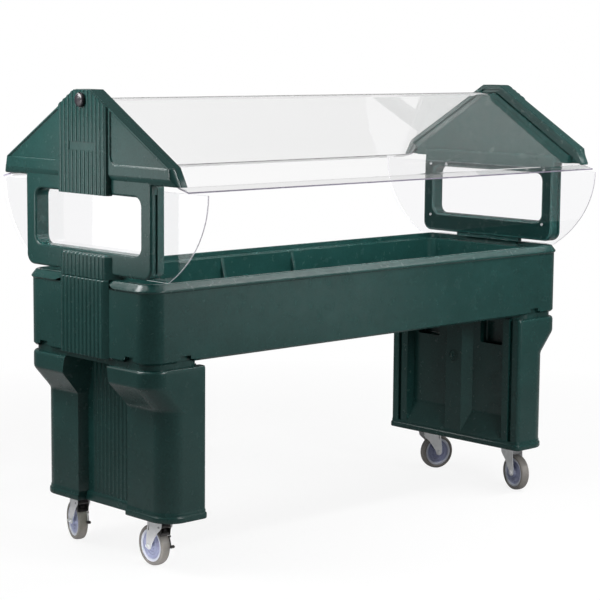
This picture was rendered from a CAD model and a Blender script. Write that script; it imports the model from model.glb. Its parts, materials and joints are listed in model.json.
"""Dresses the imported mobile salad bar: moulded green cabinet, clear canopy and shields, casters.

Sizes are written in millimetres in the row frame, with X along the tub, Y across it and Z up
from the floor. Meshes are made in metres, with each finished piece's place in its mesh.
"""

from __future__ import annotations

import json
import logging
import math
from dataclasses import dataclass, field
from enum import Enum
from typing import Sequence

import bmesh
import bpy
from mathutils import Matrix, Vector

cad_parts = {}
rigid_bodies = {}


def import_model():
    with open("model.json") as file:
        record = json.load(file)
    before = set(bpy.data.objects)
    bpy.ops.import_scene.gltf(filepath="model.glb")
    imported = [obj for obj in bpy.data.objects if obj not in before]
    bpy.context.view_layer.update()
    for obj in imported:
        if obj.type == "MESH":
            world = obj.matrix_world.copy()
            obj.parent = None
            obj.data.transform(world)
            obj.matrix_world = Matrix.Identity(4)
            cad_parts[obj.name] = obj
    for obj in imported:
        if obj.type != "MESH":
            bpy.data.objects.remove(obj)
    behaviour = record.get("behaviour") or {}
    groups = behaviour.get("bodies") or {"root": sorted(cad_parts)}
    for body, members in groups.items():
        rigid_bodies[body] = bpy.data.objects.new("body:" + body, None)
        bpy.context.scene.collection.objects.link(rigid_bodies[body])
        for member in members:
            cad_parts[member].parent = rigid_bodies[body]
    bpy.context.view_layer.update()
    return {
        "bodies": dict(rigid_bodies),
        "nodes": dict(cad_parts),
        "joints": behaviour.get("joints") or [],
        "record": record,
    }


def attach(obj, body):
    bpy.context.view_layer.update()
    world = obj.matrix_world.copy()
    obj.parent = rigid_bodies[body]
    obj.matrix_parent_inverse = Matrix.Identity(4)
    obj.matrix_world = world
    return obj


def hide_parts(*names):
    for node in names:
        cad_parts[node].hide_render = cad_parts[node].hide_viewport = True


LOG = logging.getLogger("salad_bar")
MM = 0.001

Point = tuple[float, float, float]
Plan = list[tuple[float, float]]
Ring = list[Point]

X_AXIS, Y_AXIS, Z_AXIS = Vector((1, 0, 0)), Vector((0, 1, 0)), Vector((0, 0, 1))

# Sizes that more than one sub-assembly uses.
RIB_PITCH = 19.0
KNOB_Z = 1391.94


class End(Enum):
    """An end of the tub: its name in the CAD model and the sign of its X."""

    LEFT = ("left", -1)
    RIGHT = ("right", 1)

    @property
    def word(self) -> str:
        """The end's name in the names of nodes and bodies."""
        return self.value[0]

    @property
    def sign(self) -> int:
        """Which way the end lies along X."""
        return self.value[1]


class Corner(Enum):
    """A caster's corner: its name, the signs of its X and Y, and the way that it trails."""

    LEFT_FRONT = ("left_front", -1, -1, 87.0)
    LEFT_BACK = ("left_back", -1, 1, 72.0)
    RIGHT_FRONT = ("right_front", 1, -1, -105.0)
    RIGHT_BACK = ("right_back", 1, 1, -18.0)

    @property
    def word(self) -> str:
        """The corner's name in the names of nodes and bodies."""
        return self.value[0]

    @property
    def signs(self) -> tuple[int, int]:
        """Which way the corner lies along X and along Y."""
        return self.value[1], self.value[2]

    @property
    def heading(self) -> float:
        """The way that the caster trails, in degrees from +X."""
        return self.value[3]

    @property
    def braked(self) -> bool:
        """Whether this caster has a brake lever, as the two at the left end have."""
        return self.value[1] < 0


# --- the workshop: operators that shape a mesh


def clear_selection() -> None:
    """Leaves edit mode and deselects every object."""
    if bpy.context.object and bpy.context.object.mode != "OBJECT":
        bpy.ops.object.mode_set(mode="OBJECT")
    bpy.ops.object.select_all(action="DESELECT")


def take(piece: bpy.types.Object) -> None:
    """Selects one object alone and makes it active.

    Args:
        piece: The object that the next operator works on.
    """
    clear_selection()
    piece.select_set(True)
    bpy.context.view_layer.objects.active = piece


def place_ring(piece: bpy.types.Object, ring: Ring) -> None:
    """Moves the selected face's corners to the points of a ring, in edit mode.

    Args:
        piece: The object in edit mode.
        ring: The points in millimetres, in the order of the first outline.
    """
    mesh = bmesh.from_edit_mesh(piece.data)
    order = mesh.verts.layers.int["order"]
    for vert in mesh.verts:
        if vert.select:
            vert.co = Vector(ring[vert[order]]) * MM
    bmesh.update_edit_mesh(piece.data)


def start_outline(name: str, count: int, fill: str) -> bpy.types.Object:
    """Adds a circle with a point for each corner of an outline, numbered in order.

    Args:
        name: The object's name.
        count: How many points the outline has.
        fill: NGON for a face, NOTHING for a bare loop.

    Returns:
        The object, in edit mode with all of it selected.
    """
    clear_selection()
    bpy.ops.mesh.primitive_circle_add(vertices=count, radius=1, fill_type=fill)
    piece = bpy.context.object
    piece.name = piece.data.name = name
    bpy.ops.object.mode_set(mode="EDIT")
    bpy.ops.mesh.select_all(action="SELECT")
    mesh = bmesh.from_edit_mesh(piece.data)
    order = mesh.verts.layers.int.new("order")
    for i, vert in enumerate(mesh.verts):
        vert[order] = i
    bmesh.update_edit_mesh(piece.data)
    return piece


def close_up(piece: bpy.types.Object) -> None:
    """Merges doubled points, turns the faces outwards and leaves edit mode.

    Args:
        piece: The object in edit mode.
    """
    bpy.ops.mesh.select_all(action="SELECT")
    bpy.ops.mesh.remove_doubles(threshold=1e-6)
    bpy.ops.mesh.normals_make_consistent(inside=False)
    bpy.ops.object.mode_set(mode="OBJECT")


def stack(name: str, rings: Sequence[Ring]) -> bpy.types.Object:
    """Makes a closed solid by extruding an outline from ring to ring.

    Args:
        name: The object's name.
        rings: Outlines with as many points each; the first and last are closed with a face.

    Returns:
        The solid, in object mode.
    """
    piece = start_outline(name, len(rings[0]), "NGON")
    bpy.ops.mesh.select_mode(type="FACE")
    place_ring(piece, rings[0])
    for ring in rings[1:]:
        bpy.ops.mesh.extrude_region_move()
        place_ring(piece, ring)
    close_up(piece)
    return piece


def prism_x(name: str, outline: Plan, x0: float, x1: float) -> bpy.types.Object:
    """Extrudes a Y-Z outline along X.

    Args:
        name: The object's name.
        outline: Points as y and z.
        x0: Where it begins.
        x1: Where it ends.

    Returns:
        The solid.
    """
    return stack(name, [[(x, y, z) for y, z in outline] for x in (x0, x1)])


def prism_z(name: str, levels: Sequence[tuple[float, Plan]]) -> bpy.types.Object:
    """Stacks X-Y plans at the given heights.

    Args:
        name: The object's name.
        levels: Each level's height and plan.

    Returns:
        The solid.
    """
    return stack(name, [[(x, y, z) for x, y in plan] for z, plan in levels])


def block(name: str, low: Point, high: Point, bevel: float = 0.0) -> bpy.types.Object:
    """Adds a box between two corners and rounds its edges.

    Args:
        name: The object's name.
        low: The corner with the least coordinates.
        high: The corner with the greatest.
        bevel: Radius of the rounding, 0 for none.

    Returns:
        The solid.
    """
    a, b = Vector(low), Vector(high)
    clear_selection()
    bpy.ops.mesh.primitive_cube_add(size=1, location=(a + b) / 2 * MM)
    piece = bpy.context.object
    piece.name = piece.data.name = name
    piece.scale = (b - a) * MM
    bpy.ops.object.transform_apply(location=True, rotation=True, scale=True)
    if bevel:
        round_edges(piece, bevel, 3)
    return piece


def turned(name: str, profile: Plan, centre: Point, axis: Vector, steps: int = 48,
           closed: bool = True) -> bpy.types.Object:
    """Spins a profile about an axis.

    Args:
        name: The object's name.
        profile: Points as a distance from the axis and a place along it.
        centre: Where the axis begins.
        axis: The axis's direction, along X, Y or Z.
        steps: How many steps the spin takes.
        closed: Whether the profile is a loop, and not a line that ends on the axis.

    Returns:
        The solid.
    """
    origin = Vector(centre)
    side = X_AXIS if abs(axis.x) < 0.5 else Z_AXIS
    piece = start_outline(name, len(profile), "NOTHING")
    place_ring(piece, [tuple(origin + side * r + axis * t) for r, t in profile])
    if not closed:
        mesh = bmesh.from_edit_mesh(piece.data)
        order = mesh.verts.layers.int["order"]
        ends = {0, len(profile) - 1}
        for edge in mesh.edges:
            edge.select_set({v[order] for v in edge.verts} == ends)
        bpy.ops.mesh.delete(type="EDGE")
        bpy.ops.mesh.select_all(action="SELECT")
    bpy.ops.mesh.spin(steps=steps, angle=math.tau, center=origin * MM, axis=axis)
    close_up(piece)
    return piece


def apply_modifier(piece: bpy.types.Object, kind: str, **settings: object) -> None:
    """Adds a modifier with its settings and applies it.

    Args:
        piece: The object.
        kind: The modifier's type.
        **settings: Its properties by name.
    """
    take(piece)
    modifier = piece.modifiers.new(kind.lower(), kind)
    for key, value in settings.items():
        setattr(modifier, key, value)
    bpy.ops.object.modifier_apply(modifier=modifier.name)


def round_edges(piece: bpy.types.Object, radius: float, segments: int = 3,
                angle: float = 30.0) -> None:
    """Rounds every edge that is sharper than an angle.

    Args:
        piece: The object.
        radius: Width of the rounding.
        segments: Faces across it.
        angle: Least angle between two faces, in degrees.
    """
    apply_modifier(piece, "BEVEL", width=radius * MM, segments=segments, limit_method="ANGLE",
                   angle_limit=math.radians(angle), miter_outer="MITER_ARC")


def cut(piece: bpy.types.Object, *cutters: bpy.types.Object) -> None:
    """Cuts other solids out of one and removes them.

    Args:
        piece: The object that stays.
        *cutters: The solids to take away from it.
    """
    for cutter in cutters:
        apply_modifier(piece, "BOOLEAN", operation="DIFFERENCE", solver="EXACT", object=cutter)
        bpy.data.objects.remove(cutter)


def slice_off(piece: bpy.types.Object, point: Point, normal: Vector) -> None:
    """Cuts away what lies beyond a plane and closes the cut.

    Args:
        piece: The object.
        point: A point of the plane.
        normal: Points to the side that goes.
    """
    take(piece)
    bpy.ops.object.mode_set(mode="EDIT")
    bpy.ops.mesh.select_all(action="SELECT")
    bpy.ops.mesh.bisect(plane_co=Vector(point) * MM, plane_no=normal, use_fill=True,
                        clear_outer=True)
    bpy.ops.object.mode_set(mode="OBJECT")


def joined(name: str, parts: Sequence[bpy.types.Object]) -> bpy.types.Object:
    """Joins closed solids into one piece.

    Args:
        name: The piece's name.
        parts: The solids.

    Returns:
        The piece.
    """
    take(parts[0])
    for part in parts[1:]:
        part.select_set(True)
    if len(parts) > 1:
        bpy.ops.object.join()
    piece = bpy.context.object
    piece.name = piece.data.name = name
    return piece


def turn_to_end(piece: bpy.types.Object, end: End) -> bpy.types.Object:
    """Carries a piece that was modelled at the right end to the given one.

    Args:
        piece: The piece at the right end.
        end: Where it belongs.

    Returns:
        The same piece.
    """
    if end is End.LEFT:
        take(piece)
        piece.matrix_world = Matrix.Rotation(math.pi, 4, "Z")
        bpy.ops.object.transform_apply(location=True, rotation=True, scale=True)
    return piece


def soften(piece: bpy.types.Object, angle: float = 40.0) -> None:
    """Shades a piece smoothly across edges under an angle, with flat faces kept flat.

    Args:
        piece: The object.
        angle: Greatest angle that is shaded smoothly, in degrees.
    """
    take(piece)
    bpy.ops.object.shade_smooth_by_angle(angle=math.radians(angle))
    apply_modifier(piece, "WEIGHTED_NORMAL", keep_sharp=True, weight=80)


# --- outlines


def arc(cx: float, cy: float, r: float, start: float, end: float, steps: int) -> Plan:
    """Points of an arc, both ends with it.

    Args:
        cx: Centre's first coordinate.
        cy: Centre's second coordinate.
        r: Radius.
        start: Angle of the first point, in degrees.
        end: Angle of the last point, in degrees.
        steps: How many steps between them.

    Returns:
        The points.
    """
    angles = [math.radians(start + (end - start) * i / steps) for i in range(steps + 1)]
    return [(cx + r * math.cos(a), cy + r * math.sin(a)) for a in angles]


def rounded_rectangle(half_l: float, half_w: float, r: float, steps: int = 10,
                      cx: float = 0.0, cy: float = 0.0) -> Plan:
    """Outline of a rectangle with round corners.

    Args:
        half_l: Half its length, along the first coordinate.
        half_w: Half its width.
        r: Radius of its corners.
        steps: Steps in each corner.
        cx: Centre's first coordinate.
        cy: Centre's second coordinate.

    Returns:
        The points, counterclockwise.
    """
    l, w = half_l - r, half_w - r
    return (arc(cx + l, cy + w, r, 0, 90, steps) + arc(cx - l, cy + w, r, 90, 180, steps)
            + arc(cx - l, cy - w, r, 180, 270, steps) + arc(cx + l, cy - w, r, 270, 360, steps))


def mirrored(half: Plan) -> Plan:
    """A closed outline from its half at positive first coordinate, run from bottom to top."""
    return half + [(-u, v) for u, v in reversed(half)]


def ribbed_front(x: float, half_w: float, out: float, count: int) -> Plan:
    """Points across a panel with upright ribs, from -Y to +Y, without its two edges.

    Args:
        x: The panel's face.
        half_w: Half its width, which the ribs stay within.
        out: How far a rib stands out.
        count: How many ribs.

    Returns:
        Five points for each rib, as x and y.
    """
    points: Plan = []
    rib = [(-5.6, 0.0), (-4.2, 0.62), (0.0, 1.0), (4.2, 0.62), (5.6, 0.0)]
    limit = half_w - 0.5
    for i in range(count):
        y = (i - (count - 1) / 2) * RIB_PITCH
        points += [(x + out * h, max(-limit, min(limit, y + dy))) for dy, h in rib]
    return points


# --- finishes


def linear(colour: tuple[int, int, int]) -> tuple[float, float, float, float]:
    """A colour as Cycles takes it, from one written as on a screen.

    Args:
        colour: Red, green and blue from 0 to 255.

    Returns:
        Linear red, green, blue and 1.
    """
    def one(c: float) -> float:
        """One channel."""
        return c / 12.92 if c <= 0.04045 else ((c + 0.055) / 1.055) ** 2.4
    return (one(colour[0] / 255), one(colour[1] / 255), one(colour[2] / 255), 1.0)


class Board:
    """A material's node board, with short calls for the nodes that the finishes share."""

    def __init__(self, name: str) -> None:
        """Opens a new material with a Principled shader.

        Args:
            name: The material's name.
        """
        self.material = bpy.data.materials.new(name)
        self.material.use_nodes = True
        self.tree = self.material.node_tree
        self.shader = self.tree.nodes["Principled BSDF"]
        self.place = self.node("ShaderNodeTexCoord").outputs["Object"]

    def node(self, kind: str, **inputs: object) -> bpy.types.Node:
        """Adds a node and sets or links its inputs.

        Args:
            kind: The node's type.
            **inputs: Values or sockets by input name, with _ for a space.

        Returns:
            The node.
        """
        node = self.tree.nodes.new(kind)
        for key, value in inputs.items():
            self.feed(node.inputs[key.replace("_", " ")], value)
        return node

    def feed(self, socket: bpy.types.NodeSocket, value: object) -> None:
        """Links a socket to another, or sets its value.

        Args:
            socket: The input.
            value: The output that feeds it, or a plain value.
        """
        if isinstance(value, bpy.types.NodeSocket):
            self.tree.links.new(value, socket)
        else:
            socket.default_value = value

    def noise(self, scale: float, detail: float = 2.0, stretch: tuple[float, ...] = (1, 1, 1)
              ) -> bpy.types.NodeSocket:
        """A noise pattern on the piece's own coordinates.

        Args:
            scale: How many features a metre holds.
            detail: Octaves.
            stretch: Scale along each axis.

        Returns:
            The pattern's value, about 0.5 on average.
        """
        mapping = self.node("ShaderNodeMapping", Vector=self.place, Scale=stretch)
        noise = self.node("ShaderNodeTexNoise", Vector=mapping.outputs["Vector"], Scale=scale,
                          Detail=detail)
        return noise.outputs["Fac"]

    def ramp(self, value: bpy.types.NodeSocket, low: tuple[int, int, int],
             high: tuple[int, int, int], spread: float = 0.2) -> bpy.types.NodeSocket:
        """Turns a pattern's value into a colour between two.

        Args:
            value: The pattern.
            low: Colour under the middle, 0 to 255.
            high: Colour over it.
            spread: Half the range of values between the two.

        Returns:
            The colour.
        """
        ramp = self.node("ShaderNodeValToRGB", Fac=value)
        for stop, place, colour in zip(ramp.color_ramp.elements, (0.5 - spread, 0.5 + spread),
                                       (low, high)):
            stop.position, stop.color = place, linear(colour)
        return ramp.outputs["Color"]

    def mapped(self, value: bpy.types.NodeSocket, source: tuple[float, float],
               target: tuple[float, float]) -> bpy.types.NodeSocket:
        """Maps a range of values to another.

        Args:
            value: The values.
            source: Where they begin and end.
            target: What these two become.

        Returns:
            The mapped values.
        """
        node = self.node("ShaderNodeMapRange", Value=value)
        for key, number in zip(("From Min", "From Max", "To Min", "To Max"),
                               (*source, *target)):
            node.inputs[key].default_value = number
        return node.outputs["Result"]

    def between(self, value: bpy.types.NodeSocket, low: float, high: float
                ) -> bpy.types.NodeSocket:
        """Maps a pattern's usual range, 0.3 to 0.7, to two numbers."""
        return self.mapped(value, (0.3, 0.7), (low, high))

    def bump(self, *layers: tuple[bpy.types.NodeSocket, float]) -> None:
        """Raises the surface by patterns, each with its height in millimetres.

        Args:
            *layers: Each pattern's value and height.
        """
        normal: bpy.types.NodeSocket | None = None
        for value, height in layers:
            node = self.node("ShaderNodeBump", Height=value, Distance=height * MM)
            if normal is not None:
                self.feed(node.inputs["Normal"], normal)
            normal = node.outputs["Normal"]
        self.feed(self.shader.inputs["Normal"], normal)


@dataclass(frozen=True)
class Moulding:
    """Moulded plastic or rubber: a mottled colour with a fine leathery grain.

    Attributes:
        name: The material's name.
        slot: The record's slot.
        low: Darker colour, 0 to 255.
        high: Lighter colour.
        roughness: Least and greatest roughness.
        grain: Height of the grain in millimetres.
        wave: Height of the slow unevenness of a moulded wall, in millimetres.
        gloss: Specular level of the surface.
    """

    name: str
    slot: str
    low: tuple[int, int, int]
    high: tuple[int, int, int]
    roughness: tuple[float, float] = (0.35, 0.5)
    grain: float = 0.05
    wave: float = 0.0
    gloss: float = 0.5

    def material(self) -> bpy.types.Material:
        """Builds the material.

        Returns:
            The material.
        """
        board = Board(self.name)
        fine = board.noise(170.0, 2.0)
        mottle = board.node("ShaderNodeMix", Factor=0.55).outputs["Result"]
        for socket, value in zip(mottle.node.inputs[2:4], (board.noise(7.0, 4.0), fine)):
            board.feed(socket, value)
        board.feed(board.shader.inputs["Base Color"], board.ramp(mottle, self.low, self.high))
        board.shader.inputs["Specular IOR Level"].default_value = self.gloss
        board.feed(board.shader.inputs["Roughness"],
                   board.between(board.noise(35.0, 3.0), *self.roughness))
        layers = [(board.noise(620.0, 2.0), self.grain),
                  (board.noise(230.0, 1.5), self.grain * 1.3)]
        if self.wave:
            layers.append((board.noise(9.0, 1.0), self.wave))
        board.bump(*layers)
        return board.material


@dataclass(frozen=True)
class Metal:
    """Plated or bare metal with fine scratches.

    Attributes:
        name: The material's name.
        slot: The record's slot.
        low: Darker colour, 0 to 255.
        high: Lighter colour.
        roughness: Least and greatest roughness.
        bare: How much of the surface mirrors as metal, the rest being a dull plating.
    """

    name: str
    slot: str
    low: tuple[int, int, int]
    high: tuple[int, int, int]
    roughness: tuple[float, float] = (0.25, 0.4)
    bare: float = 1.0

    def material(self) -> bpy.types.Material:
        """Builds the material.

        Returns:
            The material.
        """
        board = Board(self.name)
        board.shader.inputs["Metallic"].default_value = self.bare
        board.feed(board.shader.inputs["Base Color"],
                   board.ramp(board.noise(60.0, 4.0), self.low, self.high))
        board.feed(board.shader.inputs["Roughness"],
                   board.between(board.noise(400.0, 3.0, (1, 1, 0.15)), *self.roughness))
        board.bump((board.noise(900.0, 1.0), 0.01))
        return board.material


@dataclass(frozen=True)
class ClearSheet:
    """Clear plastic sheet that lets lamps through.

    Attributes:
        name: The material's name.
        slot: The record's slot.
        tint: Colour of the sheet, 0 to 255.
        roughness: Least and greatest roughness.
        ior: Index of refraction.
        clarity: How much of the light that enters goes through.
    """

    name: str
    slot: str
    tint: tuple[int, int, int]
    roughness: tuple[float, float] = (0.0, 0.03)
    ior: float = 1.45
    clarity: float = 1.0

    def material(self) -> bpy.types.Material:
        """Builds the material.

        Returns:
            The material.
        """
        board = Board(self.name)
        board.shader.inputs["Transmission Weight"].default_value = self.clarity
        board.shader.inputs["IOR"].default_value = self.ior
        board.shader.inputs["Base Color"].default_value = linear(self.tint)
        board.feed(board.shader.inputs["Roughness"],
                   board.between(board.noise(14.0, 3.0), *self.roughness))
        through = board.node("ShaderNodeBsdfTransparent", Color=linear(self.tint))
        shadow = board.node("ShaderNodeLightPath").outputs["Is Shadow Ray"]
        mix = board.node("ShaderNodeMixShader", Fac=shadow)
        board.feed(mix.inputs[1], board.shader.outputs["BSDF"])
        board.feed(mix.inputs[2], through.outputs["BSDF"])
        output = board.tree.nodes["Material Output"]
        board.feed(output.inputs["Surface"], mix.outputs["Shader"])
        return board.material


Finish = Moulding | Metal | ClearSheet

GREEN = Moulding("green_moulding", "green_body", (18, 50, 47), (29, 65, 62), (0.19, 0.29), 0.06,
                 0.07, 0.34)
CLEAR = ClearSheet("clear_acrylic", "clear_sheet", (254, 254, 254), ior=1.28)
SHIELD = ClearSheet("shield_acrylic", "clear_sheet", (251, 251, 252), ior=1.4)
LIP_EDGE = ClearSheet("canopy_edge", "clear_sheet", (150, 144, 162), (0.2, 0.35), 1.45, 0.3)
SHIELD_EDGE = ClearSheet("shield_edge", "clear_sheet", (226, 222, 232), (0.2, 0.35), 1.45, 0.4)
RIDGE = ClearSheet("canopy_ridge", "clear_sheet", (176, 172, 180), (0.1, 0.2), 1.45)
ZINC = Metal("zinc_plate", "zinc", (238, 239, 241), (250, 250, 252), (0.3, 0.45), 0.35)
STEEL = Metal("steel_fastener", "steel_fastener", (150, 152, 155), (178, 180, 182), (0.3, 0.45),
              0.5)
BRASS = Metal("brass_insert", "brass", (170, 140, 80), (196, 164, 98))
DARK_STEEL = Metal("brake_steel", "brake_steel", (66, 64, 64), (84, 82, 82), (0.4, 0.55))
TYRE = Moulding("tyre_rubber", "tyre_grey", (128, 124, 120), (142, 138, 134), (0.5, 0.65), 0.03)
HUB = Moulding("hub_plastic", "hub_plastic", (152, 158, 192), (172, 177, 206), (0.25, 0.38), 0.02)
HUB_RIM = Moulding("hub_rim", "hub_plastic", (212, 216, 230), (226, 229, 240), (0.25, 0.36), 0.02)
BLACK = Moulding("black_plastic", "black_plastic", (24, 20, 26), (34, 29, 36), (0.22, 0.34), 0.02)
SEAL = Moulding("seal_rubber", "rubber_black", (20, 20, 20), (32, 32, 32), (0.6, 0.75), 0.03)


class Finishes:
    """Makes each finish's material once."""

    def __init__(self) -> None:
        """Starts with none made."""
        self.made: dict[str, bpy.types.Material] = {}

    def of(self, finish: Finish) -> bpy.types.Material:
        """Gives a finish's material, and makes it the first time.

        Args:
            finish: The finish.

        Returns:
            The material.
        """
        if finish.name not in self.made:
            self.made[finish.name] = finish.material()
        return self.made[finish.name]

    def dress(self, piece: bpy.types.Object, finish: Finish, body: str,
              *nodes: str) -> None:
        """Gives a finished piece its material, body, slot and the nodes that it stands for.

        Args:
            piece: The piece.
            finish: Its finish.
            body: The CAD body that carries it.
            *nodes: The CAD nodes that it replaces.
        """
        piece.data.materials.clear()
        piece.data.materials.append(self.of(finish))
        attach(piece, body)
        if nodes:
            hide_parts(*nodes)
        LOG.info("%s: %d faces, on %s", piece.name, len(piece.data.polygons), body)

    def frost_edges(self, sheet: bpy.types.Object, finish: ClearSheet, axis: int, least: float,
                    most: float) -> None:
        """Gives a sheet's narrow faces the look of a sawn and polished edge.

        Args:
            sheet: A dressed sheet.
            finish: The edge's finish.
            axis: The coordinate of a face's normal that tells them apart.
            least: Least value of that coordinate on such a face.
            most: Greatest value of it.
        """
        edge = self.of(finish)
        if edge.name not in sheet.data.materials:
            sheet.data.materials.append(edge)
        index = sheet.data.materials.find(edge.name)
        for face in sheet.data.polygons:
            if least <= face.normal[axis] <= most:
                face.material_index = index

    def dress_node(self, node: bpy.types.Object, finish: Finish) -> None:
        """Gives a CAD node that stays its material."""
        node.data.materials.clear()
        node.data.materials.append(self.of(finish))


# --- sub-assemblies


@dataclass
class Tub:
    """The insulated tub: rim, pan ledge, well, ribbed ends and seat pads.

    Attributes:
        half_l: Half its length, at the drip nose.
        half_w: Half its width, at the drip nose.
        corner_r: Radius of its corners, at the drip nose.
        foot_z: Height of its lower edge.
        rim_z: Height of its rim.
        ledge_drop: How far the pan ledge lies under the rim.
        well_half_l: Half the well's length.
        well_half_w: Half the well's width.
        well_r: Radius of the well's corners.
        well_floor_z: Height of the well's floor.
        cut_z: Where the notches' cutters begin, under the lower edge.
        notch_z: Top of a notch's wide foot.
        notch_head_z: Top of its narrower head.
        side_notch_x: Place of the long walls' notches.
        side_notch: Half the foot's size along X and Y, and half the head's.
        end_notch_y: Place of the end walls' notches.
        end_notch: The same halves for an end wall's notch.
        band_foot_y: Where the rim's sloping band begins to climb, at an end.
        band_top_y: Where that curve ends.
        band_h: How high it climbs.
        strip_x: Face of the ribbed strip.
        strip_root_x: Where the strip's slanting sides meet the end wall.
        strip_back_x: Its back, inside the wall.
        strip_half_w: Half its width.
        rib_out: How far its ribs stand out.
        pad_x: Middle of the seat pad.
        pad_z: Underside of the seat pad.
        support_x: Place of the pan supports along the long walls.
        support_half_t: Half a pan support's thickness.
    """

    half_l: float = 935.0
    half_w: float = 307.0
    corner_r: float = 65.0
    foot_z: float = 635.0
    rim_z: float = 870.0
    ledge_drop: float = 17.0
    well_half_l: float = 870.0
    well_half_w: float = 264.0
    well_r: float = 30.0
    well_floor_z: float = 657.0
    cut_z: float = 630.0
    notch_z: float = 643.0
    notch_head_z: float = 654.0
    side_notch_x: float = 791.0
    side_notch: tuple[tuple[float, float], ...] = ((33.0, 19.0), (20.0, 19.0))
    end_notch_y: float = 210.0
    end_notch: tuple[tuple[float, float], ...] = ((20.0, 30.0), (20.0, 18.0))
    band_foot_y: float = 164.0
    band_top_y: float = 112.0
    band_h: float = 24.0
    strip_x: float = 941.0
    strip_root_x: float = 930.4
    strip_back_x: float = 905.0
    strip_half_w: float = 107.0
    rib_out: float = 3.0
    pad_x: float = 818.0
    pad_z: float = 617.4
    support_x: float = 160.0
    support_half_t: float = 6.0

    def ring(self, inset: float, z: float) -> Ring:
        """Makes the tub's outline at a height.

        Args:
            inset: How far it lies inside the drip nose.
            z: The height.

        Returns:
            The points.
        """
        plan = rounded_rectangle(self.half_l - inset, self.half_w - inset,
                                 self.corner_r - inset, 12)
        return [(x, y, z) for x, y in plan]

    def well_ring(self, draft: float, z: float) -> Ring:
        """Makes the well's outline at a height.

        Args:
            draft: How far it is drawn in.
            z: The height.

        Returns:
            The points.
        """
        plan = rounded_rectangle(self.well_half_l - draft, self.well_half_w - draft,
                                 self.well_r - draft, 12)
        return [(x, y, z) for x, y in plan]

    def shell(self) -> bpy.types.Object:
        """Makes the outer wall, the rim and the well as one closed shell.

        Returns:
            The shell, with its notches and slots and the ends of its rim cut.
        """
        foot, z, ledge_z, floor_z = (self.foot_z, self.rim_z, self.rim_z - self.ledge_drop,
                                     self.well_floor_z)
        wall = [(11, foot), (5, foot + 6), (5, z - 27.5)]
        nose = [(1.2, z - 24.4), (0, z - 22), (0.6, z - 19.2)]
        band = [(4.8, z - 13.7), (9.0, z - 8.3), (13.2, z - 2.8)]
        crest = [(15.2, z - 1), (18, z), (23, z), (24.5, z - 1.5)]
        ledge = [(25.5, z - 15), (27.5, ledge_z)]
        well = [(-3, ledge_z), (0, ledge_z - 3), (4, floor_z + 8), (12, floor_z)]
        shell = stack("tub_shell", [self.ring(*step) for step in wall + nose + band + crest + ledge]
                      + [self.well_ring(*step) for step in well])
        for side in (-1, 1):
            end_x = side * self.half_l
            for y in (-1, 1):
                cut(shell, *self.notch(side * self.side_notch_x, y * self.half_w, self.side_notch))
                cut(shell, *self.notch(end_x, y * self.end_notch_y, self.end_notch))
            cut(shell, block("slot", (end_x - 20, 5, self.cut_z), (end_x + 20, 44, foot + 4)))
            cut(shell, self.rim_end(side, self.half_l - 5, self.half_l + 5, z + 4))
        return shell

    def notch(self, x: float, y: float, halves: Sequence[tuple[float, float]]
              ) -> list[bpy.types.Object]:
        """Makes the cutters of a notch with a narrower head in the lower edge.

        Args:
            x: The notch's middle along X.
            y: The notch's middle along Y.
            halves: Half the foot's size along X and Y, and half the head's.

        Returns:
            The foot's cutter and the head's.
        """
        spans = ((self.cut_z, self.notch_z), (self.notch_z - 3, self.notch_head_z))
        return [block("notch", (x - dx, y - dy, low), (x + dx, y + dy, high))
                for (dx, dy), (low, high) in zip(halves, spans)]

    def rim_end(self, side: int, x0: float, x1: float, top: float) -> bpy.types.Object:
        """Makes the space beside a ribbed strip, where the rim's sloping band ends in a curve.

        Args:
            side: The sign of its X.
            x0: Its inner face.
            x1: Its outer face.
            top: Its upper edge.

        Returns:
            A solid that cuts the rim, or fills such a cut.
        """
        root, climb = self.band_foot_y, self.band_h
        curve = [(root - (root - y) * (root - self.band_top_y) / climb, z)
                 for y, z in arc(root, self.rim_z, climb, 270, 180, 10)]
        half = [(root, self.rim_z - climb - 1), *curve, (self.band_top_y, top)]
        return prism_x("rim_end", mirrored(half), side * x0, side * x1)

    def end_pad(self) -> bpy.types.Object:
        """Makes the flush wall that runs up to the rim's level beside the ribbed strip.

        Returns:
            The wall, at the right end.
        """
        pad = self.rim_end(1, self.strip_back_x - 1, self.half_l - 5, self.rim_z)
        round_edges(pad, 1.2, 2, 50)
        return pad

    def strip_plan(self, out: float, back: float) -> Plan:
        """Plan of the ribbed strip at one height of the right end.

        Args:
            out: How far the ribs stand out.
            back: How far the face is moved back.

        Returns:
            The points, from -Y to +Y.
        """
        x, w = self.strip_x - back, self.strip_half_w
        side = [(x, w - 3), (self.strip_root_x, w + 10), (self.strip_back_x, w + 10)]
        return ([(a, -b) for a, b in reversed(side)] + ribbed_front(x, w - 3, out, 11) + side)

    def end_strip(self) -> bpy.types.Object:
        """Makes the ribbed strip at the right end, with its ribs fading out under the rim.

        Returns:
            The strip.
        """
        foot, top = self.foot_z, self.rim_z
        steps = [(foot + 1, self.rib_out, 1), (foot + 3, self.rib_out, 0),
                 (top - 6.5, self.rib_out, 0), (top - 3.5, 2.2, 1.2), (top - 0.4, 0.3, 5)]
        return prism_z("tub_strip", [(z, self.strip_plan(out, back)) for z, out, back in steps])

    def seat_pad(self) -> bpy.types.Object:
        """The pad under the right end that sits on the pedestal."""
        plan = rounded_rectangle(98, 292, 52, 10, cx=self.pad_x)
        return prism_z("seat_pad", [(self.pad_z, plan), (self.foot_z + 1, plan)])

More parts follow.
